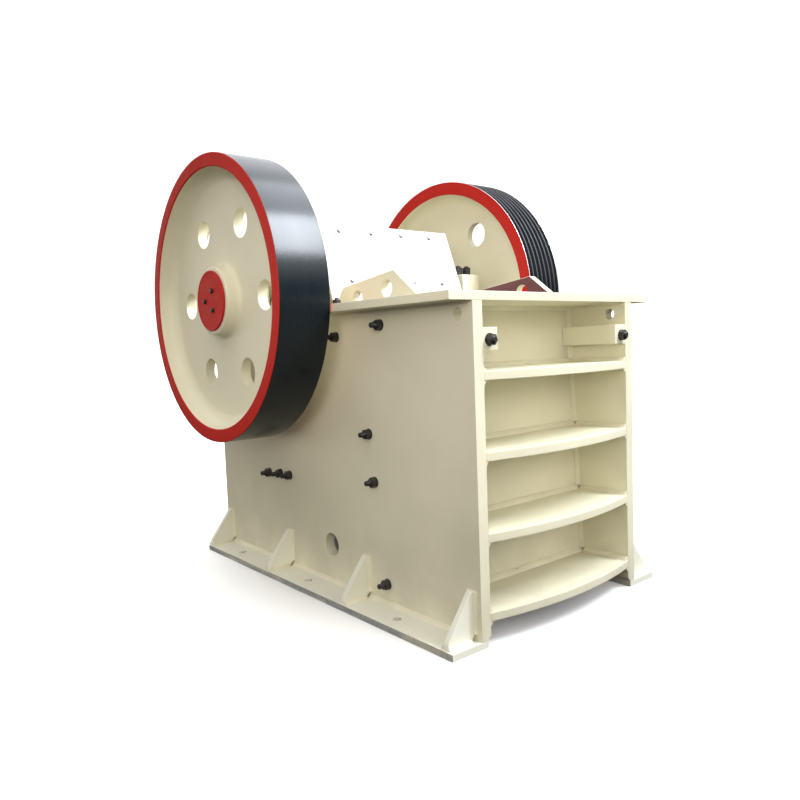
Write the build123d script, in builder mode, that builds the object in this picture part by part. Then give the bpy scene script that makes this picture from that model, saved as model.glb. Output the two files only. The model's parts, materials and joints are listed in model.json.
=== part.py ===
from build123d import *
import os
from math import sqrt

os.makedirs("parts", exist_ok=True)

# Driving dimensions in millimetres: +Z up, X along the shaft, the ribbed front faces -Y
side_x = 550.0
plate_t = 55.0
inner_x = side_x - plate_t
plate_bevel = 17.0
front_y = -1190.0
rear_y = 1108.0
foot_t = 30.0
deck_z = 1419.0
deck_t = 38.0
deck_top = deck_z + deck_t
deck_x = 677.0
deck_rear = 760.0
rear_shoulder_z = 1050.0

# Feet
foot_in = 512.0
foot_out = 716.0
foot_rear = 1054.0
anchor_x = 637.0
anchor_pitch = 745.0
anchor_r = 21.0
gusset_t = 30.0
gusset_top = 238.0
gusset_y = (-1140.0, -420.0, 305.0, 1038.0)

# Shaft and bearings
shaft_y = 335.0
shaft_z = 1519.0
throw = 15.0
pin_z = shaft_z - throw
journal_r = 85.0
wheel_seat_r = 80.0
shaft_end = 928.0
pin_r = 110.0
running_gap = 0.05
housing_r = 225.0
housing_in = 500.0
housing_out = 640.0
housing_half = 410.0
housing_lug_top = 1665.0
seat_r = 231.0

# Wheels
wheel_in = 689.0
flywheel_out = 960.0
flywheel_r = 741.0
flywheel_rim = 673.0
flywheel_web_out = 860.0
flywheel_web_in = 808.0
flywheel_hole_r = 74.0
flywheel_hole_ring = 434.0
pulley_out = 949.0
pulley_r = 779.0
pulley_rim = 701.0
pulley_web_out = 835.0
pulley_web_in = 795.0
pulley_hole_r = 76.0
pulley_hole_ring = 490.0
wheel_holes = 6
hub_r = 176.0
hub_taper = 8.0
hub_out = 934.0
groove_count = 7
groove_depth = 27.0
cover_r = 157.0
cover_t = 12.0

# Front wall, leaning back a little towards its top
wall_t = 45.0
wall_foot_z = 60.0
wall_lean = 0.0493
rib_t = 36.0
rib_bulge = 60.0
rib_z = (1117.0, 788.0, 452.0, 122.0)
rib_relief_r = 24.0

# Crushing faces: the moving jaw leans back along (0, tilt_y, tilt_z)
tilt_y = 0.350
tilt_z = sqrt(1.0 - tilt_y ** 2)
face_d = 415.0
jaw_t = 85.0
guard_t = 16.0
guard_x = 475.0
guard_low = -180.0
guard_high = 274.0
jaw_low = -1600.0
pitman_x = 440.0
cheek_x = 450.0
cheek_hole_r = 40.0
cheek_holes = ((-580.0, 1516.0), (-351.0, 1484.0))
tooth_count = 12
tooth_h = 26.0

# Toggle
toggle_front = (-285.0, 405.0)
toggle_back = (268.0, 547.0)
toggle_t = 60.0
toggle_x = 380.0
pocket_h = 110.0
pocket_reach = 26.0
pocket_drop = 13.0
beam_y = 258.0
rear_wall_y = 610.0
rear_rib = ((1132.0, 1000.0), (740.0, 1090.0), (348.0, 1090.0))


def wall_front(z):
    return -912.0 + (z - 100.0) * wall_lean


def wall_rear(z):
    return wall_front(z) + wall_t


def jaw_point(s, d):
    return (shaft_y + s * tilt_y - d * tilt_z, shaft_z + s * tilt_z + d * tilt_y)


shaft_axis = Axis((0, shaft_y, shaft_z), (1, 0, 0))
shaft_plane = Plane(origin=(0, shaft_y, shaft_z), x_dir=(1, 0, 0), z_dir=(0, -1, 0))
cross_plane = Plane(origin=(0, shaft_y, shaft_z), x_dir=(0, 1, 0), z_dir=(1, 0, 0))
pin_plane = Plane(origin=(0, shaft_y, pin_z), x_dir=(0, 1, 0), z_dir=(1, 0, 0))

# Side plates
with BuildPart() as side_plate_left:
    with BuildSketch(Plane.YZ.offset(-side_x)):
        with BuildLine():
            Polyline(
                (front_y, foot_t),
                (rear_y, foot_t),
                (rear_y, rear_shoulder_z),
                (deck_rear, deck_z),
                (front_y, deck_z),
                close=True,
            )
        make_face()
        with Locations((shaft_y, shaft_z)):
            Circle(seat_r, mode=Mode.SUBTRACT)
        with Locations((-1102, 1367)):
            Circle(26, mode=Mode.SUBTRACT)
        with Locations((-112, 228)):
            Circle(60, mode=Mode.SUBTRACT)
    extrude(amount=plate_t)
    lower_edges = side_plate_left.edges().filter_by(Axis.Y).group_by(Axis.Z)[0]
    chamfer(lower_edges.sort_by(Axis.X)[-1], length=plate_bevel)

# Flange round the top of the frame
deck_front_rear = wall_rear(deck_z)
with BuildPart() as top_flange_front:
    with BuildSketch(Plane.XY.offset(deck_z)):
        with Locations((0, (front_y + deck_front_rear) / 2)):
            Rectangle(2 * deck_x, deck_front_rear - front_y)
    extrude(amount=deck_t)

with BuildPart() as top_flange_left:
    with BuildSketch(Plane.XY.offset(deck_z)):
        with Locations((-(deck_x + inner_x) / 2, (deck_front_rear + shaft_y - 180) / 2)):
            Rectangle(deck_x - inner_x, shaft_y - 180 - deck_front_rear)
    extrude(amount=deck_t)
    with BuildSketch(cross_plane.offset(-deck_x)):
        Circle(seat_r)
    extrude(amount=deck_x, mode=Mode.SUBTRACT)

with BuildPart() as rear_flange_left:
    with BuildSketch(Plane.XY.offset(deck_z)):
        with Locations((-(deck_x + inner_x) / 2, (shaft_y + 180 + deck_rear) / 2)):
            Rectangle(deck_x - inner_x, deck_rear - shaft_y - 180)
    extrude(amount=deck_t)
    with BuildSketch(cross_plane.offset(-deck_x)):
        Circle(seat_r)
    extrude(amount=deck_x, mode=Mode.SUBTRACT)

# Front wall and its four bowed ribs
with BuildPart() as front_wall:
    with BuildSketch(Plane.YZ):
        with BuildLine():
            Polyline(
                (wall_front(wall_foot_z), wall_foot_z),
                (wall_rear(wall_foot_z), wall_foot_z),
                (wall_rear(deck_z), deck_z),
                (wall_front(deck_z), deck_z),
                close=True,
            )
        make_face()
    extrude(amount=inner_x, both=True)

for number, level in enumerate(rib_z, 1):
    rib_root = wall_front(level) + 20
    with BuildPart() as front_rib:
        with BuildSketch(Plane.XY.offset(level - rib_t / 2)):
            with BuildLine():
                ThreePointArc((-inner_x, front_y), (0, front_y - rib_bulge), (inner_x, front_y))
                Polyline(
                    (inner_x, front_y),
                    (inner_x, rib_root),
                    (-inner_x, rib_root),
                    (-inner_x, front_y),
                )
            make_face()
            with Locations((-inner_x, wall_front(level)), (inner_x, wall_front(level))):
                Circle(rib_relief_r, mode=Mode.SUBTRACT)
        extrude(amount=rib_t)
        add(front_wall.part, mode=Mode.SUBTRACT)
    front_rib.part.label = f"front_rib_{number}"
    export_step(front_rib.part, f"parts/front_rib_{number}.step")

# Clamp bars inside the top bay, each ending in a lug at the front
with BuildPart() as clamp_bar_left:
    with BuildSketch(Plane.XY.offset(1218)):
        with BuildLine():
            Polyline(
                (-inner_x, front_y),
                (-410, front_y),
                (-410, front_y + 40),
                (-440, front_y + 40),
                (-440, wall_front(1265) + 20),
                (-inner_x, wall_front(1265) + 20),
                close=True,
            )
        make_face()
    extrude(amount=94)
    add(front_wall.part, mode=Mode.SUBTRACT)

# Feet: on each side a flange with three anchor holes, and four gussets standing on it
with BuildPart() as foot_flange_left:
    with BuildSketch():
        with Locations((-(foot_in + foot_out) / 2, (front_y + foot_rear) / 2)):
            Rectangle(foot_out - foot_in, foot_rear - front_y)
        with Locations((-anchor_x, 0)):
            with GridLocations(0, anchor_pitch, 1, 3):
                Circle(anchor_r, mode=Mode.SUBTRACT)
    extrude(amount=foot_t)

with BuildPart() as foot_gussets_left:
    with BuildSketch(*[Plane.XZ.offset(-y) for y in gusset_y]):
        with BuildLine():
            Polyline(
                (-side_x - 28, foot_t),
                (-side_x, foot_t + 28),
                (-side_x, gusset_top),
                (-side_x - 22, gusset_top),
                (-foot_out + 14, foot_t + 34),
                (-foot_out + 8, foot_t),
                close=True,
            )
        make_face()
    extrude(amount=gusset_t / 2, both=True)

# Rear wall and ribs
with BuildPart() as rear_wall:
    with Locations((0, rear_wall_y + wall_t / 2, 740)):
        Box(2 * inner_x, wall_t, 820)

for number, (level, reach) in enumerate(rear_rib, 1):
    with BuildPart() as rear_shelf:
        with BuildSketch(Plane.XY.offset(level - rib_t / 2)):
            with Locations((0, (rear_wall_y + wall_t + reach) / 2)):
                Rectangle(2 * inner_x, reach - rear_wall_y - wall_t)
        extrude(amount=rib_t)
    rear_shelf.part.label = f"rear_rib_{number}"
    export_step(rear_shelf.part, f"parts/rear_rib_{number}.step")

# Toggle plate and the beam that carries its rear end
toggle_dy = toggle_back[0] - toggle_front[0]
toggle_dz = toggle_back[1] - toggle_front[1]
toggle_len = sqrt(toggle_dy ** 2 + toggle_dz ** 2)
toggle_plane = Plane(
    origin=(0, toggle_front[0], toggle_front[1]),
    x_dir=(0, toggle_dy / toggle_len, toggle_dz / toggle_len),
    z_dir=(1, 0, 0),
)
with BuildPart() as toggle_plate:
    with BuildSketch(toggle_plane):
        with Locations((toggle_len / 2, 0)):
            SlotOverall(toggle_len, toggle_t)
    extrude(amount=toggle_x, both=True)

with BuildPart() as toggle_beam:
    with Locations((0, (beam_y + rear_wall_y) / 2, 547)):
        Box(2 * inner_x, rear_wall_y - beam_y, 150)
    add(toggle_plate.part, mode=Mode.SUBTRACT)

# Bearing housings
with BuildPart() as bearing_base_left:
    with BuildSketch(cross_plane.offset(-housing_out)):
        with Locations((0, (deck_top - shaft_z) / 2)):
            Rectangle(2 * housing_half, shaft_z - deck_top)
        Circle(housing_r)
        with Locations((0, housing_r)):
            Rectangle(2 * housing_r, 2 * housing_r, mode=Mode.SUBTRACT)
        Circle(journal_r + running_gap, mode=Mode.SUBTRACT)
    extrude(amount=housing_out - housing_in)

with BuildPart() as bearing_cap_left:
    with BuildSketch(cross_plane.offset(-housing_out)):
        with Locations((0, (housing_lug_top - shaft_z) / 2)):
            Rectangle(2 * housing_half, housing_lug_top - shaft_z)
        Circle(housing_r)
        with Locations((0, -housing_r)):
            Rectangle(2 * housing_r, 2 * housing_r, mode=Mode.SUBTRACT)
        Circle(journal_r + running_gap, mode=Mode.SUBTRACT)
    extrude(amount=housing_out - housing_in)

# Eccentric shaft
with BuildPart() as eccentric_shaft:
    with BuildSketch(cross_plane):
        Circle(wheel_seat_r)
    extrude(amount=shaft_end, both=True)
    with BuildSketch(cross_plane):
        Circle(journal_r)
    extrude(amount=680, both=True)
    with BuildSketch(pin_plane):
        Circle(pin_r)
    extrude(amount=pitman_x + 12, both=True)

# Flywheel, its web set back in the rim, with six holes
with BuildPart() as flywheel:
    with BuildSketch(shaft_plane):
        with BuildLine():
            Polyline(
                (-hub_out, wheel_seat_r),
                (-hub_out, hub_r),
                (-flywheel_web_out, hub_r + hub_taper),
                (-flywheel_web_out, flywheel_rim - 12),
                (-flywheel_out, flywheel_rim),
                (-flywheel_out, flywheel_r),
                (-wheel_in, flywheel_r),
                (-wheel_in, flywheel_rim),
                (-flywheel_web_in, flywheel_rim - 8),
                (-flywheel_web_in, hub_r + hub_taper),
                (-wheel_in, hub_r),
                (-wheel_in, wheel_seat_r),
                close=True,
            )
        make_face()
    revolve(axis=shaft_axis)
    with BuildSketch(cross_plane.offset(-flywheel_out)):
        with PolarLocations(flywheel_hole_ring, wheel_holes):
            Circle(flywheel_hole_r)
    extrude(amount=flywheel_out - wheel_in, mode=Mode.SUBTRACT)

with BuildPart() as flywheel_cover:
    with BuildSketch(cross_plane.offset(-hub_out)):
        Circle(cover_r)
    extrude(amount=-cover_t)

# Pulley: the same kind of wheel with V grooves for the belts round its rim
groove_pitch = (pulley_out - wheel_in) / groove_count
groove_points = []
for i in range(groove_count):
    crest = pulley_out - i * groove_pitch
    groove_points.append((crest, pulley_r))
    groove_points.append((crest - groove_pitch / 2, pulley_r - groove_depth))
with BuildPart() as pulley:
    with BuildSketch(shaft_plane):
        with BuildLine():
            Polyline(
                (hub_out, wheel_seat_r),
                (hub_out, hub_r),
                (pulley_web_out, hub_r + hub_taper),
                (pulley_web_out, pulley_rim - 10),
                (pulley_out, pulley_rim),
                *groove_points,
                (wheel_in, pulley_r),
                (wheel_in, pulley_rim),
                (pulley_web_in, pulley_rim - 12),
                (pulley_web_in, hub_r + hub_taper),
                (wheel_in, hub_r),
                (wheel_in, wheel_seat_r),
                close=True,
            )
        make_face()
    revolve(axis=shaft_axis)
    with BuildSketch(cross_plane.offset(wheel_in)):
        with PolarLocations(pulley_hole_ring, wheel_holes):
            Circle(pulley_hole_r)
    extrude(amount=pulley_out - wheel_in, mode=Mode.SUBTRACT)

with BuildPart() as pulley_cover:
    with BuildSketch(cross_plane.offset(hub_out)):
        Circle(cover_r)
    extrude(amount=cover_t)

# Pitman with its bore on the eccentric pin and a pocket for the toggle plate
with BuildPart() as pitman:
    with BuildSketch(Plane.YZ):
        with BuildLine():
            Polyline(
                jaw_point(jaw_low, face_d - jaw_t),
                jaw_point(guard_low - 10, face_d - jaw_t),
                jaw_point(guard_low - 10, face_d - guard_t),
                jaw_point(guard_high, face_d - guard_t),
                jaw_point(314, 40),
                jaw_point(0, -300),
                jaw_point(-160, -290),
                jaw_point(-1020, 70),
                jaw_point(-1130, 20),
                jaw_point(-1330, 20),
                jaw_point(-1430, 130),
                jaw_point(jaw_low, 230),
                close=True,
            )
        make_face()
        with Locations((shaft_y, pin_z)):
            Circle(325)
    extrude(amount=pitman_x, both=True)
    with BuildSketch(pin_plane):
        Circle(pin_r + running_gap)
    extrude(amount=pitman_x, both=True, mode=Mode.SUBTRACT)
    with BuildSketch(toggle_plane):
        with Locations((toggle_len / 2 - pocket_reach / 2, -pocket_drop)):
            Rectangle(toggle_len + pocket_reach, pocket_h)
    extrude(amount=toggle_x + 20, both=True, mode=Mode.SUBTRACT)

with BuildPart() as guard_plate:
    with BuildSketch(Plane.YZ):
        with BuildLine():
            Polyline(
                jaw_point(guard_low, face_d - guard_t),
                jaw_point(guard_high, face_d - guard_t),
                jaw_point(guard_high, face_d),
                jaw_point(guard_low, face_d),
                close=True,
            )
        make_face()
    extrude(amount=guard_x, both=True)

# Crushing plates with upright teeth
fixed_plane = Plane(
    origin=(0, wall_rear(100), 100),
    x_dir=(1, 0, 0),
    z_dir=(0, wall_lean, 1),
)
fixed_x = cheek_x - 4
fixed_pitch = 2 * fixed_x / tooth_count
fixed_teeth = []
for i in range(tooth_count):
    fixed_teeth.append((fixed_x - i * fixed_pitch, jaw_t - tooth_h))
    fixed_teeth.append((fixed_x - (i + 0.5) * fixed_pitch, jaw_t))
with BuildPart() as fixed_jaw_plate:
    with BuildSketch(fixed_plane):
        with BuildLine():
            Polyline(
                (-fixed_x, 0),
                (fixed_x, 0),
                *fixed_teeth,
                (-fixed_x, jaw_t - tooth_h),
                close=True,
            )
        make_face()
    extrude(amount=1300)

moving_plane = Plane(
    origin=(0, *jaw_point(jaw_low, face_d - jaw_t)),
    x_dir=(-1, 0, 0),
    z_dir=(0, tilt_y, tilt_z),
)
moving_x = cheek_x - 7
moving_pitch = 2 * moving_x / tooth_count
moving_teeth = []
for i in range(tooth_count):
    moving_teeth.append((moving_x - i * moving_pitch, jaw_t))
    moving_teeth.append((moving_x - (i + 0.5) * moving_pitch, jaw_t - tooth_h))
with BuildPart() as moving_jaw_plate:
    with BuildSketch(moving_plane):
        with BuildLine():
            Polyline(
                (-moving_x, 0),
                (moving_x, 0),
                *moving_teeth,
                (-moving_x, jaw_t),
                close=True,
            )
        make_face()
    extrude(amount=guard_low - 10 - jaw_low)

# Cheek plates lining the chamber, the upper ones standing above the flange
with BuildPart() as cheek_upper_left:
    with BuildSketch(Plane.YZ.offset(-inner_x)):
        with BuildLine():
            Polyline(
                (wall_rear(722), 722),
                (-370, 722),
                (-135, 1420),
                (-230, 1548),
                (-635, 1597),
                (-790, 1478),
                (-790, deck_top),
                (wall_rear(deck_z), deck_z),
                close=True,
            )
        make_face()
        with Locations(*cheek_holes):
            Circle(cheek_hole_r, mode=Mode.SUBTRACT)
    extrude(amount=inner_x - cheek_x)

with BuildPart() as cheek_lower_left:
    with BuildSketch(Plane.YZ.offset(-inner_x)):
        with BuildLine():
            Polyline(
                (wall_rear(75), 75),
                (-540, 75),
                (-376, 710),
                (wall_rear(710), 710),
                close=True,
            )
        make_face()
    extrude(amount=inner_x - cheek_x)

# Single pieces
single_pieces = {
    "top_flange_front": top_flange_front,
    "front_wall": front_wall,
    "rear_wall": rear_wall,
    "toggle_plate": toggle_plate,
    "toggle_beam": toggle_beam,
    "eccentric_shaft": eccentric_shaft,
    "flywheel": flywheel,
    "flywheel_cover": flywheel_cover,
    "pulley": pulley,
    "pulley_cover": pulley_cover,
    "pitman": pitman,
    "guard_plate": guard_plate,
    "fixed_jaw_plate": fixed_jaw_plate,
    "moving_jaw_plate": moving_jaw_plate,
}
for name, piece in single_pieces.items():
    piece.part.label = name
    export_step(piece.part, f"parts/{name}.step")

# Pieces that stand on both sides: the left one and its mirror image
paired_pieces = {
    "side_plate": side_plate_left,
    "top_flange": top_flange_left,
    "rear_flange": rear_flange_left,
    "clamp_bar": clamp_bar_left,
    "foot_flange": foot_flange_left,
    "foot_gussets": foot_gussets_left,
    "bearing_base": bearing_base_left,
    "bearing_cap": bearing_cap_left,
    "cheek_upper": cheek_upper_left,
    "cheek_lower": cheek_lower_left,
}
for name, left in paired_pieces.items():
    with BuildPart() as right:
        mirror(left.part, about=Plane.YZ)
    left.part.label = f"{name}_left"
    right.part.label = f"{name}_right"
    export_step(left.part, f"parts/{name}_left.step")
    export_step(right.part, f"parts/{name}_right.step")
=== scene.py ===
import json
import math

import bmesh
import bpy
from mathutils import Matrix, Vector


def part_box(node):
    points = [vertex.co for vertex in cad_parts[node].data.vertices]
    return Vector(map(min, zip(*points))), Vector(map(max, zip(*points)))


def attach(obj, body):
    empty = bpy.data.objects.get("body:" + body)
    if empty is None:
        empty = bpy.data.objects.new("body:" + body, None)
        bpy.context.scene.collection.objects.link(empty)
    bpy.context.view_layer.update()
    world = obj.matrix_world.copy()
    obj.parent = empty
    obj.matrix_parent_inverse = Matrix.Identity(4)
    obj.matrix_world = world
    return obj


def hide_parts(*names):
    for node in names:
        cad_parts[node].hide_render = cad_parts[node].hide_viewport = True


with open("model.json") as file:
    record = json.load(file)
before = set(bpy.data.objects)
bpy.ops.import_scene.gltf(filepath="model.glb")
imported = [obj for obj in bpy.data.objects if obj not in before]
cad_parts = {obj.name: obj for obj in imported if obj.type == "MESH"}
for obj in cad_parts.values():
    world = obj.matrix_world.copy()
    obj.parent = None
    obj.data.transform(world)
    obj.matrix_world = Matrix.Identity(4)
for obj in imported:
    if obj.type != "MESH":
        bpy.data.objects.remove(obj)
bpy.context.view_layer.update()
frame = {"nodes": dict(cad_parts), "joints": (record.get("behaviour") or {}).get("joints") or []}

# Places read from the frame, in metres
plate_low, plate_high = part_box("side_plate_left")
outer_x = -plate_low.x
inner_x = -plate_high.x
front_y = plate_low.y
deck_low, deck_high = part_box("top_flange_front")
deck_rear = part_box("rear_flange_left")[1].y
wall_low, wall_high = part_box("front_wall")
foot_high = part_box("foot_flange_left")[1]
rear_wall_low, rear_wall_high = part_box("rear_wall")
fly_low, fly_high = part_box("flywheel")
pulley_low, pulley_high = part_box("pulley")
shaft_joint = next(j for j in frame["joints"] if j["name"] == "shaft_spin")
shaft_y = shaft_joint["pos_m"][1]
shaft_z = shaft_joint["pos_m"][2]

# Sizes that the frame's boxes don't give
wall_t = 0.045
wall_lean = (wall_high.y - wall_t - wall_low.y) / (wall_high.z - wall_low.z)
wall_up = Vector((0, wall_lean, 1)).normalized()
gusset_t = 0.030
gusset_top = 0.238
gusset_toe_x = 0.706
gusset_y = (-1.140, -0.420, 0.305, 1.038)
gusset_relief = 0.030
rib_relief = 0.024
bay_weld_gap = 0.016
seat_front_y = 0.120
seat_rear_y = 0.552
guard_lean = 0.350
guard_tilt = Vector((0, guard_lean, math.sqrt(1 - guard_lean ** 2)))
guard_out = Vector((0, -guard_tilt.z, guard_tilt.y))
guard_face_d = 0.415
cap_lug_z = 1.665
hub_radius, hub_flare, shaft_seat = 0.176, 0.008, 0.080
wheel_steps, wheel_holes, hole_edge = 168, 6, 0.005
ring_depth, paint_slack = 0.007, 0.001
tread_slack, land_slack, groove_slack = 0.0012, 0.0015, 0.003
cover_border, cover_slope, cover_step, cover_edge = 0.012, 0.002, 0.0015, 0.0035

# Welds: leg lengths, and how far they stop short
rib_weld, rib_end_weld, bay_corner_weld = 0.022, 0.019, 0.018
deck_weld, flange_weld = 0.012, 0.011
gusset_weld, foot_weld = 0.015, 0.019
rear_rib_weld, rear_rib_end_weld = 0.020, 0.022
rib_weld_start, deck_weld_start = 0.002, 0.020
weld_end, gusset_weld_gap, shortest_weld = 0.004, 0.010, 0.03
bead_step, bead_wave = 0.045, 0.05

# Camera of the photograph
camera_place = Vector((-2.55519, -3.17682, 1.25356))
camera_right = Vector((0.77254126, -0.63385375, -0.03754222))
camera_up = Vector((0.07805317, 0.03612219, 0.99629458))
camera_lens = 31.95
camera_sensor = 36.0

LEFT, RIGHT = -1, 1
X, Y, Z = Vector((1, 0, 0)), Vector((0, 1, 0)), Vector((0, 0, 1))


# Hand tools
def only(piece):
    """Makes one piece the only selected and active object."""
    bpy.ops.object.select_all(action="DESELECT")
    piece.select_set(True)
    bpy.context.view_layer.objects.active = piece


def open_edit(piece):
    only(piece)
    bpy.ops.object.mode_set(mode="EDIT")


def close_edit():
    bpy.ops.object.mode_set(mode="OBJECT")


def pick(piece, kind, test):
    """Selects the vertices, edges or faces of the open piece that pass a test."""
    bpy.ops.mesh.select_mode(type=kind)
    bpy.ops.mesh.select_all(action="DESELECT")
    mesh = bmesh.from_edit_mesh(piece.data)
    elements = {"VERT": mesh.verts, "EDGE": mesh.edges, "FACE": mesh.faces}[kind]
    for element in elements:
        element.select_set(test(element))
    mesh.select_flush_mode()
    bmesh.update_edit_mesh(piece.data)


def place_in_mesh(piece):
    """Puts the object's place and turn into its mesh."""
    only(piece)
    bpy.ops.object.transform_apply(location=True, rotation=True, scale=True)


def apply_modifier(piece, kind, **settings):
    only(piece)
    modifier = piece.modifiers.new(kind.lower(), kind)
    for key, value in settings.items():
        setattr(modifier, key, value)
    bpy.ops.object.modifier_apply(modifier=modifier.name)


def even_normals(piece, angle=40):
    """Rounds the shading over soft edges and keeps large faces flat."""
    only(piece)
    bpy.ops.object.shade_smooth_by_angle(angle=math.radians(angle))
    apply_modifier(piece, "WEIGHTED_NORMAL", keep_sharp=True)


def joined(name, pieces):
    bpy.ops.object.select_all(action="DESELECT")
    for piece in pieces:
        piece.select_set(True)
    bpy.context.view_layer.objects.active = pieces[0]
    bpy.ops.object.join()
    whole = bpy.context.view_layer.objects.active
    whole.name = name
    whole.data.name = name
    return whole


def finish_piece(piece, body, materials, stands_for=()):
    """Gives a piece its materials, its body and the frame's pieces that it stands for."""
    piece.data.materials.clear()
    for material in materials:
        piece.data.materials.append(material)
    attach(piece, body)
    if stands_for:
        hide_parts(*stands_for)
    return piece


# Finishes
class Finish:
    """A material under construction: its node tree, shader and object coordinates."""

    def __init__(self, name, roughness=0.5, metallic=0.0):
        self.material = bpy.data.materials.new(name)
        self.material.use_nodes = True
        self.tree = self.material.node_tree
        self.shader = self.tree.nodes["Principled BSDF"]
        self.shader.inputs["Roughness"].default_value = roughness
        self.shader.inputs["Metallic"].default_value = metallic
        self.coords = self.add("ShaderNodeTexCoord").outputs["Object"]

    def add(self, kind, **inputs):
        node = self.tree.nodes.new(kind)
        for key, value in inputs.items():
            self.feed(node.inputs[key.replace("_", " ")], value)
        return node

    def feed(self, socket, value):
        if isinstance(value, bpy.types.NodeSocket):
            self.tree.links.new(value, socket)
        else:
            socket.default_value = value

    def noise(self, scale, detail=3.0, stretch=None, distortion=0.0):
        """Grey noise in object space, stretched by a factor along each axis."""
        vector = self.coords
        if stretch:
            mapping = self.add("ShaderNodeMapping", Vector=vector, Scale=stretch)
            vector = mapping.outputs["Vector"]
        node = self.add("ShaderNodeTexNoise", Vector=vector, Scale=scale, Detail=detail,
                        Distortion=distortion)
        return node.outputs["Fac"]

    def between(self, value, low, high, start=0.3, stop=0.7):
        """Maps grey values from start..stop to low..high."""
        node = self.add("ShaderNodeMapRange", Value=value)
        node.inputs["From Min"].default_value = start
        node.inputs["From Max"].default_value = stop
        node.inputs["To Min"].default_value = low
        node.inputs["To Max"].default_value = high
        return node.outputs["Result"]

    def blend(self, factor, first, second):
        node = self.tree.nodes.new("ShaderNodeMix")
        node.data_type = "RGBA"
        self.feed(node.inputs["Factor"], factor)
        self.feed(node.inputs["A"], colour4(first))
        self.feed(node.inputs["B"], colour4(second))
        return node.outputs["Result"]

    def times(self, first, second):
        node = self.tree.nodes.new("ShaderNodeMath")
        node.operation = "MULTIPLY"
        self.feed(node.inputs[0], first)
        self.feed(node.inputs[1], second)
        return node.outputs[0]

    def bump(self, height, strength, distance):
        """Adds a bump on top of the ones already there."""
        node = self.add("ShaderNodeBump", Height=height, Strength=strength, Distance=distance)
        normal = self.shader.inputs["Normal"]
        if normal.is_linked:
            self.tree.links.new(normal.links[0].from_socket, node.inputs["Normal"])
        self.tree.links.new(node.outputs["Normal"], normal)

    def colour(self, value):
        self.feed(self.shader.inputs["Base Color"], value)

    def roughness(self, value):
        self.feed(self.shader.inputs["Roughness"], value)


def colour4(value):
    if isinstance(value, bpy.types.NodeSocket):
        return value
    return (*value[:3], 1.0)


def tinted(colour, factor):
    return tuple(min(1.0, channel * factor) for channel in colour)


def enamel(name, colour, roughness, dust_and_shade=0.0, peel=0.05, shine=0.5):
    """Sprayed enamel on wavy steel plate: slow shifts of tone, orange peel, and a darkening low down that
    is partly dust and partly painted shade.
    """
    finish = Finish(name, roughness)
    tone = finish.between(finish.noise(1.7, 4.0), 0.0, 1.0)
    paint = finish.blend(tone, tinted(colour, 0.93), tinted(colour, 1.05))
    cloud = finish.between(finish.noise(9.0, 5.0), 0.0, 0.35, 0.45, 0.75)
    paint = finish.blend(cloud, paint, tinted(colour, 0.97))
    if dust_and_shade:
        # Dust and painted shade: darker towards the bottom, more than dust alone would make it.
        axes = finish.add("ShaderNodeSeparateXYZ", Vector=finish.coords)
        low = finish.between(axes.outputs["Z"], dust_and_shade, 0.0, 0.0, 0.60)
        patch = finish.between(finish.noise(5.0, 6.0), 0.2, 1.0, 0.35, 0.65)
        paint = finish.blend(finish.times(low, patch), paint, (0.36, 0.33, 0.27))
    finish.colour(paint)
    finish.roughness(finish.between(finish.noise(23.0, 4.0), roughness - 0.06, roughness + 0.09))
    finish.bump(finish.noise(3.2, 2.0), 0.12, 0.004)
    finish.bump(finish.noise(260.0, 2.0), peel, 0.0006)
    finish.shader.inputs["Specular IOR Level"].default_value = shine
    return finish.material


def weld_enamel(name, colour):
    """The same paint over weld beads: ripples and small spatter show through."""
    finish = Finish(name, 0.42)
    tone = finish.between(finish.noise(6.0, 4.0), 0.0, 1.0)
    finish.colour(finish.blend(tone, tinted(colour, 0.90), tinted(colour, 1.03)))
    finish.roughness(finish.between(finish.noise(40.0, 4.0), 0.36, 0.52))
    finish.bump(finish.noise(140.0, 3.0, distortion=0.6), 0.35, 0.0016)
    finish.bump(finish.noise(520.0, 2.0), 0.10, 0.0005)
    return finish.material


def tread_finish(name, colour, roughness, marks, shine):
    """Turned and painted rim: faint lines round the wheel and a few scuffs."""
    finish = Finish(name, roughness)
    lines = finish.noise(1.0, 2.0, stretch=(marks, 3.0, 3.0))
    scuff = finish.between(finish.noise(7.0, 6.0, stretch=(1.0, 2.2, 0.5)), 0.0, 0.30, 0.58, 0.80)
    paint = finish.blend(finish.between(lines, 0.0, 1.0), tinted(colour, 0.92), tinted(colour, 1.10))
    finish.colour(finish.blend(scuff, paint, tinted(colour, 2.0)))
    finish.roughness(finish.between(lines, roughness - 0.02, roughness + 0.02))
    finish.bump(lines, 0.01, 0.0006)
    finish.bump(finish.noise(5.0, 2.0), 0.06, 0.004)
    finish.shader.inputs["Specular IOR Level"].default_value = shine
    return finish.material


def cast_finish(name, colour, roughness, metallic, grain, depth):
    """Cast steel: grainy skin, darker pits and worn lighter patches."""
    finish = Finish(name, roughness, metallic)
    tone = finish.between(finish.noise(4.0, 6.0), 0.0, 1.0)
    skin = finish.blend(tone, tinted(colour, 0.75), tinted(colour, 1.25))
    pits = finish.between(finish.noise(grain, 4.0), 0.0, 0.7, 0.58, 0.74)
    finish.colour(finish.blend(pits, skin, tinted(colour, 0.45)))
    finish.roughness(finish.between(finish.noise(30.0, 4.0), roughness - 0.12, roughness + 0.12))
    finish.bump(finish.noise(grain, 5.0), 0.5, depth)
    finish.bump(finish.noise(8.0, 3.0), 0.25, 0.004)
    return finish.material


def turned_steel(name, dark, light):
    """Machined steel with fine turning lines and a film of oil."""
    finish = Finish(name, 0.32, 1.0)
    lines = finish.noise(1.0, 2.0, stretch=(900.0, 4.0, 4.0))
    finish.colour(finish.blend(finish.between(lines, 0.0, 1.0), dark, light))
    finish.roughness(finish.between(finish.noise(16.0, 4.0), 0.24, 0.42))
    finish.bump(lines, 0.12, 0.0004)
    return finish.material


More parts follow.
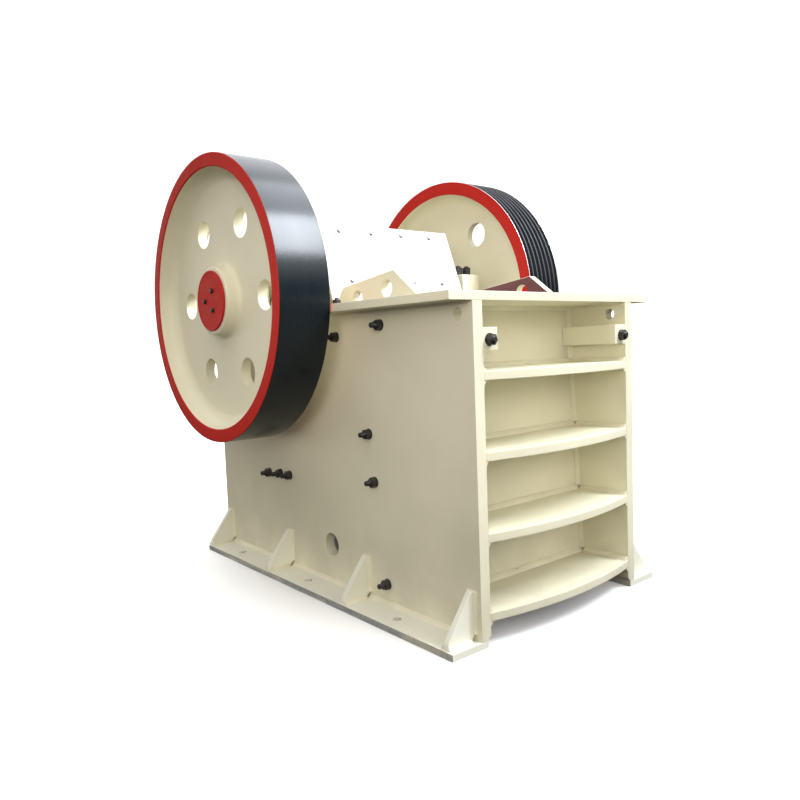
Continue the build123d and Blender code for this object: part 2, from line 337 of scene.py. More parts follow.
def scraped_enamel(name, colour):
    """Edges of the feet, where slings and lorry floors have scraped the paint down to grey steel."""
    finish = Finish(name, 0.5)
    worn = finish.between(finish.noise(14.0, 6.0, stretch=(1.0, 0.25, 1.6)), 0.25, 1.0, 0.36, 0.56)
    sheen = finish.between(finish.noise(55.0, 4.0), 0.0, 1.0)
    steel = finish.blend(sheen, (0.30, 0.31, 0.31), (0.46, 0.46, 0.45))
    finish.colour(finish.blend(worn, tinted(colour, 0.92), steel))
    finish.roughness(finish.between(finish.noise(33.0, 4.0), 0.38, 0.62))
    finish.bump(finish.noise(90.0, 4.0, stretch=(1.0, 0.2, 1.0)), 0.25, 0.0008)
    return finish.material


def zinc_plate(name):
    """Small plated screws, a little dull."""
    finish = Finish(name, 0.4, 0.6)
    tone = finish.between(finish.noise(80.0, 3.0), 0.0, 1.0)
    finish.colour(finish.blend(tone, (0.20, 0.20, 0.21), (0.32, 0.32, 0.33)))
    finish.roughness(finish.between(finish.noise(120.0, 3.0), 0.30, 0.52))
    finish.bump(finish.noise(600.0, 2.0), 0.08, 0.0003)
    return finish.material


def blackened(name):
    """Blackened bolts: near black, a little brown where handled, lightly oiled."""
    finish = Finish(name, 0.38)
    tone = finish.between(finish.noise(60.0, 4.0), 0.0, 1.0)
    finish.colour(finish.blend(tone, (0.010, 0.010, 0.012), (0.032, 0.029, 0.027)))
    finish.roughness(finish.between(finish.noise(90.0, 3.0), 0.28, 0.5))
    finish.bump(finish.noise(700.0, 2.0), 0.12, 0.0003)
    return finish.material


cream_colour = (0.785, 0.750, 0.570)
# The cream darkens towards the bottom: partly dust, partly painted shade.
cream = enamel("cream_enamel", cream_colour, 0.40, dust_and_shade=0.36)
# A paler, greyer copy of the cream for the feet and gussets: partly dust, partly painted light to lift
# them.
foot_enamel_dust_and_painted_light = enamel("pale_enamel_on_feet_dust_and_painted_light", (0.81, 0.80, 0.68), 0.40)
# Painted shade: a darker copy of the cream on the deck's up-facing faces, so they don't burn out; it looks
# like dust.
deck_painted_shade = enamel("cream_on_deck_darkened_as_painted_shade", tinted(cream_colour, 0.58), 0.60)
cream_weld = weld_enamel("cream_enamel_on_welds", cream_colour)
white = enamel("white_enamel", (0.88, 0.885, 0.875), 0.36)
red = enamel("red_enamel", (0.51, 0.026, 0.019), 0.40, peel=0.02, shine=0.05)
maroon = enamel("maroon_primer", (0.175, 0.058, 0.055), 0.62, peel=0.12)
tread_black = tread_finish("black_flywheel_tread", (0.0040, 0.0085, 0.0125), 0.24, 420.0, 0.28)
groove_black = tread_finish("black_belt_grooves", (0.0130, 0.0165, 0.0235), 0.30, 260.0, 0.60)
bolt_black = blackened("blackened_bolts")
manganese = cast_finish("manganese_castings", (0.20, 0.185, 0.175), 0.55, 0.65, 130.0, 0.0018)
toggle_iron = cast_finish("toggle_casting", (0.13, 0.13, 0.13), 0.6, 0.5, 110.0, 0.0016)
shaft_steel = turned_steel("turned_shaft_steel", (0.36, 0.36, 0.37), (0.52, 0.52, 0.53))
# Bare turned steel for the pulley's rim edges, partly a painted highlight.
rim_steel_and_painted_highlight = turned_steel("bright_steel_pulley_edges_painted_highlight", (0.52, 0.54, 0.57), (0.68, 0.70, 0.73))
scraped = scraped_enamel("scraped_foot_edges", cream_colour)
# Painted shade: near-black paint on the rear wall and toggle beam faces that look into the chamber, where
# there is only shade.
shade_black_inside = enamel("painted_shade_black_inside", (0.022, 0.020, 0.020), 0.7, peel=0.12, shine=0.2)
screw_zinc = zinc_plate("zinc_guard_screws")


# Dressed copies of the frame's pieces, with rounded edges
def dressed(node, edge):
    """A merged copy of one of the frame's pieces, its sharp edges eased."""
    piece = bpy.data.objects.new(f"{node}_dressed", frame["nodes"][node].data.copy())
    bpy.context.collection.objects.link(piece)
    open_edit(piece)
    bpy.ops.mesh.select_all(action="SELECT")
    bpy.ops.mesh.remove_doubles(threshold=0.00002)
    bpy.ops.mesh.customdata_custom_splitnormals_clear()
    bpy.ops.mesh.dissolve_limited(angle_limit=math.radians(0.4))
    close_edit()
    apply_modifier(piece, "BEVEL", width=edge, segments=2, limit_method="ANGLE",
                   angle_limit=math.radians(30))
    even_normals(piece)
    return piece


def paint_faces(piece, index, test):
    """Gives the faces that pass a test another of the piece's materials."""
    for face in piece.data.polygons:
        if test(face):
            face.material_index = index


plate_edge = 0.003
casting_edge = 0.009
sheet_edge = 0.002
deck_nodes = [
    "top_flange_front", "top_flange_left", "top_flange_right", "rear_flange_left", "rear_flange_right",
]
plate_nodes = [
    "side_plate_left", "side_plate_right", *deck_nodes, "front_wall", "front_rib_1", "front_rib_2",
    "front_rib_3", "front_rib_4", "clamp_bar_left", "clamp_bar_right", "foot_flange_left",
    "foot_flange_right", "foot_gussets_left", "foot_gussets_right", "rear_wall", "rear_rib_1",
    "rear_rib_2", "rear_rib_3", "toggle_beam",
]
for node in plate_nodes:
    finish_piece(dressed(node, plate_edge), "frame", [cream], [node])
for side in ("left", "right"):
    foot = bpy.data.objects[f"foot_flange_{side}_dressed"]
    foot.data.materials[0] = foot_enamel_dust_and_painted_light
    foot.data.materials.append(scraped)
    paint_faces(foot, 1, lambda face: abs(face.normal.x) > 0.9)
    bpy.data.objects[f"foot_gussets_{side}_dressed"].data.materials[0] = foot_enamel_dust_and_painted_light
# Painted shade on the up-facing faces of the deck.
for node in deck_nodes:
    deck = bpy.data.objects[f"{node}_dressed"]
    deck.data.materials.append(deck_painted_shade)
    paint_faces(deck, 1, lambda face: face.normal.z > 0.9)
# Painted shade: the faces turned into the chamber get the near-black paint.
for node in ("rear_wall", "toggle_beam"):
    inside = bpy.data.objects[f"{node}_dressed"]
    inside.data.materials.append(shade_black_inside)
    paint_faces(inside, 1, lambda face: face.normal.y < -0.5)
for node in ("bearing_base_left", "bearing_base_right", "bearing_cap_left", "bearing_cap_right"):
    finish_piece(dressed(node, casting_edge), "frame", [cream], [node])
finish_piece(dressed("toggle_plate", plate_edge), "frame", [toggle_iron], ["toggle_plate"])
finish_piece(dressed("fixed_jaw_plate", plate_edge), "frame", [manganese], ["fixed_jaw_plate"])
finish_piece(dressed("moving_jaw_plate", plate_edge), "jaw", [manganese], ["moving_jaw_plate"])
finish_piece(dressed("pitman", casting_edge), "jaw", [cream], ["pitman"])
finish_piece(dressed("guard_plate", sheet_edge), "jaw", [white], ["guard_plate"])
finish_piece(dressed("eccentric_shaft", plate_edge), "shaft", [shaft_steel],
             ["eccentric_shaft"])
for side, name, slot in ((LEFT, "left", "cheek_paint"), (RIGHT, "right", "cheek_primer")):
    upper = finish_piece(dressed(f"cheek_upper_{name}", plate_edge), "frame", [cream, maroon],
                         [f"cheek_upper_{name}"])
    paint_faces(upper, 1, lambda face: face.normal.x * side < -0.9)
    finish_piece(dressed(f"cheek_lower_{name}", plate_edge), "frame", [maroon],
                 [f"cheek_lower_{name}"])


# Wheels
def spun_wheel(name, section, roundings):
    """Spins a closed section of (x, radius) corners round the shaft, each corner with its own rounding."""
    bpy.ops.mesh.primitive_circle_add(vertices=len(section))
    wheel = bpy.context.active_object
    wheel.name = name
    open_edit(wheel)
    mesh = bmesh.from_edit_mesh(wheel.data)
    mesh.verts.ensure_lookup_table()
    for vertex, (x, radius) in zip(mesh.verts, section):
        vertex.co = (x, shaft_y, shaft_z + radius)
    bmesh.update_edit_mesh(wheel.data)
    for rounding, segments in sorted({(r, 6 if r > 0.02 else 3) for r in roundings if r}, reverse=True):
        corners = [Vector((x, shaft_y, shaft_z + radius))
                   for (x, radius), r in zip(section, roundings) if r == rounding]
        pick(wheel, "VERT", lambda v: any((v.co - corner).length < 1e-5 for corner in corners))
        bpy.ops.mesh.bevel(offset=rounding, segments=segments, affect="VERTICES", clamp_overlap=True)
    bpy.ops.mesh.select_all(action="SELECT")
    bpy.ops.mesh.spin(steps=wheel_steps, angle=math.tau, center=(0, shaft_y, shaft_z), axis=(1, 0, 0))
    bpy.ops.mesh.select_all(action="SELECT")
    bpy.ops.mesh.remove_doubles(threshold=0.00002)
    bpy.ops.mesh.normals_make_consistent(inside=False)
    close_edit()
    return wheel


def cut_round_holes(wheel, ring, radius):
    """Bores holes along the shaft's direction on a ring, and eases their edges."""
    cutters = []
    for number in range(wheel_holes):
        angle = math.tau * number / wheel_holes
        bpy.ops.mesh.primitive_cylinder_add(
            vertices=56, radius=radius, depth=3.0, rotation=(0, math.pi / 2, 0),
            location=(0, shaft_y + ring * math.cos(angle), shaft_z + ring * math.sin(angle)))
        cutters.append(bpy.context.active_object)
    cutter = joined("hole_cutter", cutters)
    apply_modifier(wheel, "BOOLEAN", object=cutter, operation="DIFFERENCE", solver="EXACT")
    bpy.data.objects.remove(cutter)
    apply_modifier(wheel, "BEVEL", width=hole_edge, segments=3, limit_method="ANGLE",
                   angle_limit=math.radians(60))


def axis_radius(point):
    return math.hypot(point.y - shaft_y, point.z - shaft_z)


def make_flywheel():
    """The plain wheel: set-back web with round holes, red rim edges and a black tread."""
    face, back = fly_low.x, fly_high.x
    hub_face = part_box("flywheel_cover")[1].x
    tread = (fly_high.z - fly_low.z) / 2
    rim, draft_face, draft_back = 0.673, 0.012, 0.008
    web_face, web_back = -0.860, -0.808
    hole_ring, hole_radius = 0.434, 0.074
    section = [
        (hub_face, shaft_seat), (hub_face, hub_radius), (web_face, hub_radius + hub_flare),
        (web_face, rim - draft_face), (face, rim), (face, tread), (back, tread), (back, rim),
        (web_back, rim - draft_back), (web_back, hub_radius + hub_flare),
        (back, hub_radius), (back, shaft_seat),
    ]
    roundings = [0, 0.008, 0.022, 0.060, 0.006, 0.004, 0.004, 0.006, 0.050, 0.030, 0.008, 0]
    wheel = spun_wheel("flywheel_dressed", section, roundings)
    cut_round_holes(wheel, hole_ring, hole_radius)
    even_normals(wheel)
    finish_piece(wheel, "shaft", [cream, red, tread_black], ["flywheel"])
    paint_faces(wheel, 1, lambda f: axis_radius(f.center) > rim - paint_slack
                and min(abs(f.center.x - face), abs(f.center.x - back)) < ring_depth)
    paint_faces(wheel, 2, lambda f: axis_radius(f.center) > tread - tread_slack)


def make_pulley():
    """The belt wheel: V grooves round the rim, with edges of bright turned steel that also stand in for a
    highlight, over a thin web with round holes.
    """
    face, back = pulley_low.x, pulley_high.x
    tread = (pulley_high.z - pulley_low.z) / 2
    hub_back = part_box("pulley_cover")[0].x
    rim, draft_face, draft_back = 0.701, 0.012, 0.010
    web_face, web_back = 0.795, 0.835
    hole_ring, hole_radius = 0.490, 0.076
    grooves, depth, land, floor = 7, 0.024, 0.0095, 0.011
    pitch = (back - face) / grooves
    groove_section = []
    for number in range(grooves):
        middle = back - (number + 0.5) * pitch
        half_top, half_floor = (pitch - land) / 2, floor / 2
        groove_section += [(middle + half_top, tread), (middle + half_floor, tread - depth),
                           (middle - half_floor, tread - depth), (middle - half_top, tread)]
    section = [
        (hub_back, shaft_seat), (hub_back, hub_radius), (web_back, hub_radius + hub_flare),
        (web_back, rim - draft_back), (back, rim), (back, tread), *groove_section,
        (face, tread), (face, rim), (web_face, rim - draft_face), (web_face, hub_radius + hub_flare),
        (face, hub_radius), (face, shaft_seat),
    ]
    groove_roundings = [0.0012, 0.003, 0.003, 0.0012] * grooves
    roundings = [0, 0.008, 0.040, 0.045, 0.006, 0.0025, *groove_roundings,
                 0.0025, 0.006, 0.050, 0.040, 0.008, 0]
    wheel = spun_wheel("pulley_dressed", section, roundings)
    cut_round_holes(wheel, hole_ring, hole_radius)
    even_normals(wheel)
    finish_piece(wheel, "shaft", [cream, red, groove_black, rim_steel_and_painted_highlight], ["pulley"])
    paint_faces(wheel, 1, lambda f: axis_radius(f.center) > rim - paint_slack
                and min(abs(f.center.x - face), abs(f.center.x - back)) < ring_depth)
    paint_faces(wheel, 2, lambda f: axis_radius(f.center) > tread - depth - groove_slack
                and face + paint_slack < f.center.x < back - paint_slack)
    # Painted highlight: the outermost lands are bright turned steel, standing in for the light caught along
    # the rim's edges.
    paint_faces(wheel, 3, lambda f: axis_radius(f.center) > tread - land_slack
                and min(abs(f.center.x - face), abs(f.center.x - back)) < land / 2)


def make_cover(node, outward):
    """Round end plate on a hub: eased rim and a shallow turned step."""
    low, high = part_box(node)
    radius, depth = (high.z - low.z) / 2, high.x - low.x
    bpy.ops.mesh.primitive_cylinder_add(
        vertices=112, radius=radius, depth=depth, rotation=(0, math.pi / 2, 0),
        location=((low.x + high.x) / 2, shaft_y, shaft_z))
    cover = bpy.context.active_object
    cover.name = f"{node}_dressed"
    place_in_mesh(cover)
    outer_face = high.x if outward > 0 else low.x
    open_edit(cover)
    pick(cover, "FACE", lambda f: abs(f.calc_center_median().x - outer_face) < 1e-4)
    bpy.ops.mesh.inset(thickness=cover_border)
    bpy.ops.mesh.inset(thickness=cover_slope, depth=-cover_step)
    close_edit()
    apply_modifier(cover, "BEVEL", width=cover_edge, segments=3, limit_method="ANGLE",
                   angle_limit=math.radians(50))
    even_normals(cover)
    return finish_piece(cover, "shaft", [red], [node])


make_flywheel()
make_pulley()
make_cover("flywheel_cover", LEFT)
make_cover("pulley_cover", RIGHT)


# Welds
weld_beads = []


def weld(start, end, along_first, along_second, leg):
    """A hollow fillet bead from start to end, lying between two plates that lead away from it."""
    length = (end - start).length
    run = (end - start).normalized()
    if along_first.cross(along_second).dot(run) < 0:
        along_first, along_second = along_second, along_first
    bpy.ops.mesh.primitive_cube_add(size=1.0, location=(0.5, 0.5, 0.5))
    bead = bpy.context.active_object
    place_in_mesh(bead)
    open_edit(bead)
    pick(bead, "EDGE", lambda e: all(v.co.x > 0.99 and v.co.y > 0.99 for v in e.verts))
    bpy.ops.mesh.bevel(offset=0.96, segments=5, profile=0.30, affect="EDGES")
    pick(bead, "EDGE", lambda e: abs(e.verts[0].co.z - e.verts[1].co.z) > 0.9)
    bpy.ops.mesh.subdivide(number_cuts=max(1, round(length / bead_step)))
    pick(bead, "VERT", lambda v: v.co.x > 0.01 and v.co.y > 0.01 and 0.001 < v.co.z < 0.999)
    bpy.ops.transform.vertex_random(offset=bead_wave, uniform=0.5, seed=len(weld_beads) % 97)
    close_edit()
    columns = [along_first * leg, along_second * leg, run * length]
    lay = Matrix([[c[row] for c in columns] + [start[row]] for row in range(3)] + [[0, 0, 0, 1]])
    bead.data.transform(lay)
    weld_beads.append(bead)


def wall_front(z):
    """Where the leaning front wall's face stands at a height."""
    return wall_low.y + (z - wall_low.z) * wall_lean


def weld_front_bays():
    """Beads round the bays between the front ribs, the side plates and the front deck."""
    bays = [wall_low.z]
    reach = inner_x - rib_relief
    for number in (4, 3, 2, 1):
        low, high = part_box(f"front_rib_{number}")
        bays += [low.z, high.z]
        for z, up in ((high.z, 1), (low.z, -1)):
            wall = wall_front(z)
            weld(Vector((-reach, wall, z)), Vector((reach, wall, z)), -Y, wall_up * up, rib_weld)
            for side in (LEFT, RIGHT):
                x = side * inner_x
                weld(Vector((x, front_y + rib_weld_start, z)), Vector((x, wall - rib_relief, z)),
                     -X * side, Z * up, rib_end_weld)
    bays.append(deck_low.z)
    for low_z, high_z in zip(bays[0::2], bays[1::2]):
        for side in (LEFT, RIGHT):
            x = side * inner_x
            start_z = low_z + bay_weld_gap
            weld(Vector((x, wall_front(start_z), start_z)), Vector((x, wall_front(high_z), high_z)),
                 -X * side, -Y, bay_corner_weld)
    wall = wall_front(deck_low.z)
    weld(Vector((-inner_x, wall, deck_low.z)), Vector((inner_x, wall, deck_low.z)), -Y, -wall_up, rib_weld)
    for side in (LEFT, RIGHT):
        x = side * inner_x
        weld(Vector((x, front_y + deck_weld_start, deck_low.z)), Vector((x, wall, deck_low.z)),
             -X * side, -Z, deck_weld)


def weld_flange_and_feet():
    """Beads outside the side plates: under the deck, along the feet and round the gussets."""
    for side in (LEFT, RIGHT):
        x = side * outer_x
        for start, end in ((front_y + deck_weld_start, seat_front_y), (seat_rear_y, deck_rear - weld_end)):
            weld(Vector((x, start, deck_low.z)), Vector((x, end, deck_low.z)), X * side, -Z, flange_weld)
        bay_ends = [front_y + weld_end]
        for y in gusset_y:
            faces = (y - gusset_t / 2, y + gusset_t / 2)
            bay_ends += [faces[0] - gusset_weld_gap, faces[1] + gusset_weld_gap]
            for face, turn in zip(faces, (-1, 1)):
                weld(Vector((x, face, foot_high.z + gusset_relief)), Vector((x, face, gusset_top)),
                     X * side, Y * turn, gusset_weld)
                weld(Vector((x + side * gusset_relief, face, foot_high.z)),
                     Vector((side * gusset_toe_x, face, foot_high.z)), Y * turn, Z, gusset_weld)
        bay_ends.append(foot_high.y - weld_end)
        for start, end in zip(bay_ends[0::2], bay_ends[1::2]):
            if end - start > shortest_weld:
                weld(Vector((x, start, foot_high.z)), Vector((x, end, foot_high.z)), X * side, Z, foot_weld)


def weld_rear_bays():
    """Beads round the bays between the rear ribs and the side plates."""
    y = rear_wall_high.y
    levels = [rear_wall_low.z]
    for number in (3, 2, 1):
        low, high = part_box(f"rear_rib_{number}")
        levels += [low.z, high.z]
        for z, up in ((high.z, 1), (low.z, -1)):
            if rear_wall_low.z < z < rear_wall_high.z - 0.01:
                weld(Vector((-inner_x, y, z)), Vector((inner_x, y, z)), Y, Z * up, rear_rib_weld)
            for side in (LEFT, RIGHT):
                x = side * inner_x
                weld(Vector((x, y, z)), Vector((x, high.y - weld_end, z)),
                     -X * side, Z * up, rear_rib_end_weld)
    for low_z, high_z in zip(levels[0::2], levels[1::2]):
        for side in (LEFT, RIGHT):
            if high_z - low_z > shortest_weld:
                x = side * inner_x
                weld(Vector((x, y, low_z)), Vector((x, y, high_z)), -X * side, Y, rear_rib_weld)


weld_front_bays()
weld_flange_and_feet()
weld_rear_bays()
welds = joined("frame_welds", weld_beads)
only(welds)
bpy.ops.object.shade_smooth_by_angle(angle=math.radians(50))
finish_piece(welds, "frame", [cream_weld])


# Bolts
thread_pitch = 0.0033


def hexagon(radius, height, base):
    """A hexagon nut or head with its corners turned down at the top."""
    bpy.ops.mesh.primitive_cylinder_add(vertices=6, radius=radius, depth=height,
                                        location=(0, 0, base + height / 2))
    nut = bpy.context.active_object
    place_in_mesh(nut)
    open_edit(nut)
    pick(nut, "EDGE", lambda e: all(v.co.z > base + height - 1e-5 for v in e.verts))
    bpy.ops.mesh.bevel(offset=radius * 0.13, segments=2, affect="EDGES")
    pick(nut, "FACE", lambda f: f.normal.z > 0.99)
    bpy.ops.mesh.inset(thickness=radius * 0.05, depth=radius * 0.02)
    pick(nut, "EDGE", lambda e: abs(e.verts[0].co.z - e.verts[1].co.z) > height * 0.5)
    bpy.ops.mesh.bevel(offset=radius * 0.05, segments=2, affect="EDGES")
    close_edit()
    return nut


def washer(radius, height):
    bpy.ops.mesh.primitive_cylinder_add(vertices=36, radius=radius, depth=height,
                                        location=(0, 0, height / 2))
    ring = bpy.context.active_object
    place_in_mesh(ring)
    apply_modifier(ring, "BEVEL", width=height * 0.3, segments=2, limit_method="ANGLE")
    return ring


def threaded_end(radius, length, base, pitch):
    """The end of a bolt standing out of its nut: one turn of thread, repeated, and an eased tip."""
    bpy.ops.mesh.primitive_cylinder_add(vertices=22, radius=radius, depth=pitch, end_fill_type="NOTHING",
                                        location=(0, 0, base + pitch / 2))
    thread = bpy.context.active_object
    place_in_mesh(thread)
    open_edit(thread)
    pick(thread, "EDGE", lambda e: abs(e.verts[0].co.z - e.verts[1].co.z) > pitch * 0.5)
    bpy.ops.mesh.subdivide(number_cuts=1)
    pick(thread, "VERT", lambda v: abs(v.co.z - base - pitch / 2) < pitch * 0.1)
    bpy.ops.transform.resize(value=(0.88, 0.88, 1.0), center_override=(0, 0, base))
    close_edit()
    turns = max(2, round(length / pitch) - 1)
    apply_modifier(thread, "ARRAY", count=turns, use_relative_offset=False, use_constant_offset=True,
                   constant_offset_displace=(0, 0, pitch), use_merge_vertices=True, merge_threshold=0.00005)
    open_edit(thread)
    top = base + turns * pitch
    pick(thread, "EDGE", lambda e: all(v.co.z > top - 1e-5 for v in e.verts))
    bpy.ops.mesh.extrude_region_move(TRANSFORM_OT_translate={"value": (0, 0, pitch * 0.7)})
    bpy.ops.transform.resize(value=(0.80, 0.80, 1.0), center_override=(0, 0, top))
    bpy.ops.mesh.edge_face_add()
    close_edit()
    return thread


def bolt_pattern(nut_radius, nut_heights, washer_radius, washer_height, stud_radius=0.0, stud_length=0.0):
    """One bolt standing on the origin along Z, as a single mesh: washer, nuts and the end of the stud."""
    parts = [washer(washer_radius, washer_height)]
    base = washer_height
    for height in nut_heights:
        parts.append(hexagon(nut_radius, height, base))
        base += height
    if stud_length:
        parts.append(threaded_end(stud_radius, stud_length, base, thread_pitch))
    bolt = joined("bolt_pattern", parts)
    only(bolt)
    bpy.ops.object.shade_smooth_by_angle(angle=math.radians(35))
    return bolt


def set_bolts(name, pattern, body, places, material):
    """Copies a bolt to each (point, outward direction), turned a little differently each time."""
    copies = []
    for number, (point, outward) in enumerate(places):
        bolt = bpy.data.objects.new(name, pattern.data.copy())
        bpy.context.collection.objects.link(bolt)
        turn = Matrix.Rotation(0.37 + 0.61 * number, 4, "Z")
        stand = outward.to_track_quat("Z", "Y").to_matrix().to_4x4()
        bolt.data.transform(Matrix.Translation(point) @ stand @ turn)
        copies.append(bolt)
    return finish_piece(joined(name, copies), body, [material])


def drop(pattern):
    bpy.data.objects.remove(pattern)


side_bolt_places = (
    (-0.233, 1.304), (-0.594, 1.348), (-0.475, 0.836), (-0.507, 0.608), (-0.577, 0.128),
    (0.514, 0.538), (0.385, 0.547), (0.285, 0.548),
)
stud_pattern = bolt_pattern(nut_radius=0.0255, nut_heights=(0.026,), washer_radius=0.0265,
                            washer_height=0.003, stud_radius=0.0125, stud_length=0.030)
for side, name in ((LEFT, "left"), (RIGHT, "right")):
    places = [(Vector((side * outer_x, y, z)), X * side) for y, z in side_bolt_places]
    set_bolts(f"side_bolts_{name}", stud_pattern, "frame", places, bolt_black)
drop(stud_pattern)

clamp_bolt_x, clamp_bolt_z = 0.459, 1.262
lug_pattern = bolt_pattern(nut_radius=0.0255, nut_heights=(0.022,), washer_radius=0.0265,
                           washer_height=0.003, stud_radius=0.0135, stud_length=0.009)
lug_places = [(Vector((side * clamp_bolt_x, front_y, clamp_bolt_z)), -Y) for side in (LEFT, RIGHT)]
set_bolts("clamp_bolts", lug_pattern, "frame", lug_places, bolt_black)
drop(lug_pattern)

cap_bolt_x = (0.532, 0.604)
cap_bolt_y = (-0.003, 2 * shaft_y + 0.003)
cap_pattern = bolt_pattern(nut_radius=0.0275, nut_heights=(0.028, 0.016), washer_radius=0.0300,
                           washer_height=0.004, stud_radius=0.0150, stud_length=0.006)
cap_places = []
for side in (LEFT, RIGHT):
    for y in cap_bolt_y:
        for x in cap_bolt_x:
            cap_places.append((Vector((side * x, y, cap_lug_z)), Z))
set_bolts("bearing_cap_bolts", cap_pattern, "frame", cap_places, bolt_black)
drop(cap_pattern)

flange_bolt_x, flange_bolt_y = 0.610, -0.341
flange_pattern = bolt_pattern(nut_radius=0.0220, nut_heights=(0.020,), washer_radius=0.0240,
                              washer_height=0.003, stud_radius=0.0110, stud_length=0.010)
flange_places = [(Vector((side * flange_bolt_x, flange_bolt_y, deck_high.z)), Z) for side in (LEFT, RIGHT)]
set_bolts("flange_bolts", flange_pattern, "frame", flange_places, bolt_black)
drop(flange_pattern)

guard_screw_x = (-0.324, -0.108, 0.108, 0.324)
guard_screw_rise = (0.229, -0.066)
screw_pattern = bolt_pattern(nut_radius=0.0105, nut_heights=(0.008,), washer_radius=0.0125,
                             washer_height=0.002)
guard_places = []
for x in guard_screw_x:
    for rise in guard_screw_rise:
        middle = Vector((x, shaft_y, shaft_z)) + guard_tilt * rise + guard_out * guard_face_d
        guard_places.append((middle, guard_out))
set_bolts("guard_screws", screw_pattern, "jaw", guard_places, screw_zinc)
drop(screw_pattern)

cover_bolts, cover_bolt_ring = 3, 0.058
cover_pattern = bolt_pattern(nut_radius=0.0125, nut_heights=(0.009,), washer_radius=0.0145,
                             washer_height=0.0022)
for node, outward in (("flywheel_cover", LEFT), ("pulley_cover", RIGHT)):
    low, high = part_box(node)
    x = (low.x if outward < 0 else high.x) - outward * cover_step
    places = []
    for number in range(cover_bolts):
        angle = math.tau * number / cover_bolts
        y = shaft_y + cover_bolt_ring * math.cos(angle)
        z = shaft_z + cover_bolt_ring * math.sin(angle)
        places.append((Vector((x, y, z)), X * outward))
    set_bolts(f"{node}_bolts", cover_pattern, "shaft", places, bolt_black)
drop(cover_pattern)


# Stage, light and camera
floor_glow = 0.008
ceiling_glow = 0.55
dome_strength = 2.9
plain, warm, cool = (1.0, 1.0, 1.0), (1.0, 0.94, 0.87), (0.91, 0.97, 1.05)
tread_spot = Vector((-0.83, -0.33, 1.85))
strip_distance = 5.5
fade_start, fade_end, sweep_glow = 0.9, 2.2, 0.6


def make_stage():
    """A pale round floor that sweeps up into a backdrop, glowing evenly all round and fading to a painted
    shadow under the machine.
    """
    bpy.ops.mesh.primitive_circle_add(vertices=96, radius=24, fill_type="NGON", location=(0, 0, -0.0005))
    sweep = bpy.context.active_object
    sweep.name = "studio_sweep"
    place_in_mesh(sweep)
    open_edit(sweep)
    pick(sweep, "EDGE", lambda edge: edge.is_boundary)
    for rise, growth in ((0.5, 1.08), (1.2, 1.06), (2.4, 1.04), (40.0, 1.0)):
        bpy.ops.mesh.extrude_region_move(TRANSFORM_OT_translate={"value": (0, 0, rise)})
        bpy.ops.transform.resize(value=(growth, growth, 1), center_override=(0, 0, 0))
    close_edit()
    only(sweep)
    bpy.ops.object.shade_smooth_by_angle(angle=math.radians(60))
    finish = Finish("pale_sweep", 0.9)
    tone = finish.between(finish.noise(0.8, 3.0), 0.0, 1.0)
    finish.colour(finish.blend(tone, (0.88, 0.88, 0.87), (0.92, 0.92, 0.91)))
    away = finish.tree.nodes.new("ShaderNodeVectorMath")
    away.operation = "LENGTH"
    spread = finish.add("ShaderNodeMapping", Vector=finish.coords, Scale=(1.5, 1.0, 1.0))
    finish.tree.links.new(spread.outputs["Vector"], away.inputs[0])
    finish.shader.inputs["Emission Color"].default_value = (1, 1, 1, 1)
    # Painted shadow: the floor's glow fades out under the machine.
    glow_fading_to_painted_shadow = finish.between(away.outputs["Value"], 0.0, sweep_glow, fade_start, fade_end)
    finish.feed(finish.shader.inputs["Emission Strength"], glow_fading_to_painted_shadow)
    sweep.data.materials.append(finish.material)
    sweep.visible_diffuse = False
    sweep.visible_glossy = False
    sweep.visible_shadow = False


def make_dome():
    """Soft light all round: bright ceiling, glowing wall at the front right, dim walls and dark floor."""
    world = bpy.data.worlds.new("studio_dome")
    world.use_nodes = True
    bpy.context.scene.world = world
    tree = world.node_tree
    background = tree.nodes["Background"]
    coords = tree.nodes.new("ShaderNodeTexCoord")
    axes = tree.nodes.new("ShaderNodeSeparateXYZ")
    tree.links.new(coords.outputs["Generated"], axes.inputs[0])

    def ranged(socket, start, stop):
        node = tree.nodes.new("ShaderNodeMapRange")
        node.inputs["From Min"].default_value = start
        node.inputs["From Max"].default_value = stop
        tree.links.new(socket, node.inputs["Value"])
        return node.outputs["Result"]

    height = ranged(axes.outputs["Z"], -1.0, 1.0)

    def wall(foot, middle, ceiling, tint):
        """Brightness from the floor over the foot and middle of a wall to the ceiling."""
        ramp = tree.nodes.new("ShaderNodeValToRGB")
        stops = ((0.46, floor_glow, tint), (0.51, foot, tint), (0.59, foot, tint), (0.65, middle, tint),
                 (0.80, middle, tint), (0.875, ceiling, plain))
        ramp.color_ramp.elements.remove(ramp.color_ramp.elements[1])
        ramp.color_ramp.elements[0].position = 0.0
        ramp.color_ramp.elements[0].color = (floor_glow, floor_glow, floor_glow, 1)
        for position, level, hue in stops:
            ramp.color_ramp.elements.new(position).color = colour4(tinted(hue, level))
        tree.links.new(height, ramp.inputs["Fac"])
        return ramp.outputs["Color"]

    corner = tree.nodes.new("ShaderNodeMath")
    corner.operation = "MULTIPLY"
    tree.links.new(ranged(axes.outputs["X"], -0.4, 0.4), corner.inputs[0])
    tree.links.new(ranged(axes.outputs["Y"], 1.0, -0.4), corner.inputs[1])
    sides = tree.nodes.new("ShaderNodeMix")
    sides.data_type = "RGBA"
    tree.links.new(corner.outputs[0], sides.inputs["Factor"])
    tree.links.new(wall(0.43, 0.07, ceiling_glow, warm), sides.inputs["A"])
    tree.links.new(wall(0.05, 0.74, ceiling_glow, plain), sides.inputs["B"])
    tree.links.new(sides.outputs["Result"], background.inputs["Color"])
    background.inputs["Strength"].default_value = dome_strength


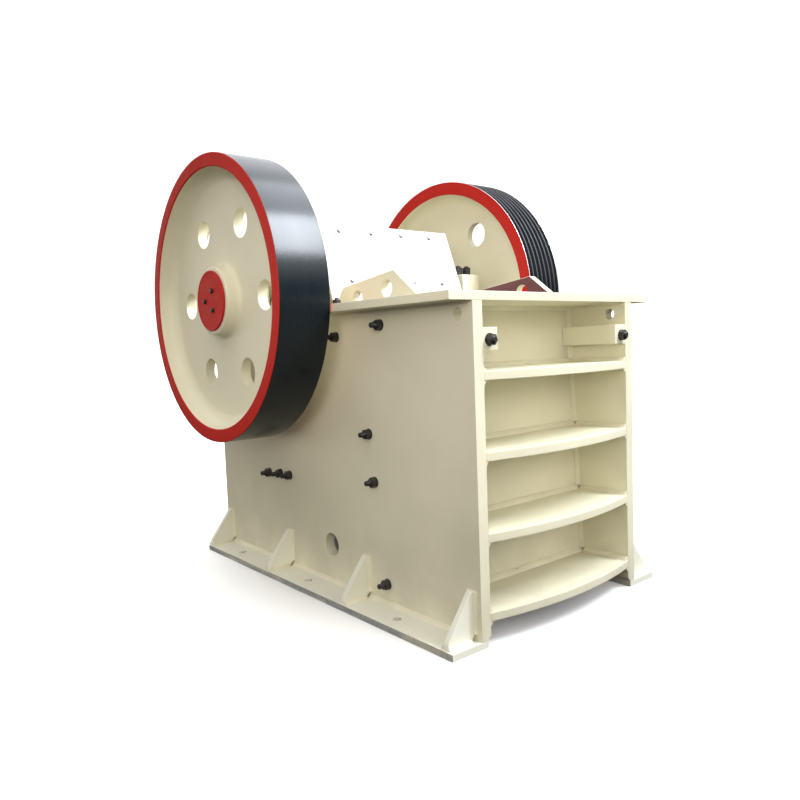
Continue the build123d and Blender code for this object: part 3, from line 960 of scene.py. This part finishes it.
def make_softbox(name, aim, way, run, distance, wide, long, energy, spread, tint):
    """A rectangular lamp that stands off a point in one direction, its long side along another."""
    way = way.normalized()
    run = (run - way * run.dot(way)).normalized()
    light = bpy.data.lights.new(name, "AREA")
    light.shape = "RECTANGLE"
    light.size = wide
    light.size_y = long
    light.energy = energy
    light.color = tint
    light.spread = math.radians(spread)
    lamp = bpy.data.objects.new(name, light)
    lamp.location = aim + way * distance
    lamp.rotation_mode = "QUATERNION"
    lamp.rotation_quaternion = Matrix((run.cross(way), run, way)).transposed().to_quaternion()
    lamp.visible_camera = False
    bpy.context.collection.objects.link(lamp)


def make_camera():
    data = bpy.data.cameras.new("photo_camera")
    data.sensor_width = camera_sensor
    data.lens = camera_lens
    camera = bpy.data.objects.new("photo_camera", data)
    back = camera_right.cross(camera_up)
    axes = Matrix((camera_right, camera_up, back)).transposed()
    camera.matrix_world = Matrix.Translation(camera_place) @ axes.to_4x4()
    bpy.context.collection.objects.link(camera)
    bpy.context.scene.camera = camera


make_stage()
make_dome()
make_softbox("tread_strip", tread_spot, Vector((0.515, -0.550, 0.655)), Vector((-0.03, 0.75, 0.66)),
             distance=strip_distance, wide=1.0, long=3.0, energy=400, spread=180, tint=cool)
make_softbox("sky_strip", tread_spot, Vector((0.50, -0.03, 0.865)), Vector((0.0, 1.0, 0.0)),
             distance=strip_distance, wide=1.4, long=2.8, energy=82, spread=180, tint=cool)
make_softbox("back_strip", tread_spot, Vector((0.47, 0.60, 0.64)), Vector((-0.06, 0.75, -0.65)),
             distance=strip_distance, wide=1.8, long=5.0, energy=34, spread=180, tint=cool)
make_softbox("near_fill", Vector((-0.6, -0.2, 1.7)), Vector((-2.8, -2.8, 0.7)), Z,
             distance=4.0, wide=2.0, long=2.0, energy=13, spread=70, tint=warm)
make_softbox("front_fill", Vector((0.1, -0.9, 1.0)), Vector((0.1, -4.6, 1.2)), Z,
             distance=4.75, wide=2.0, long=2.0, energy=8, spread=90, tint=warm)
make_camera()
bpy.context.scene.view_settings.view_transform = "Standard"
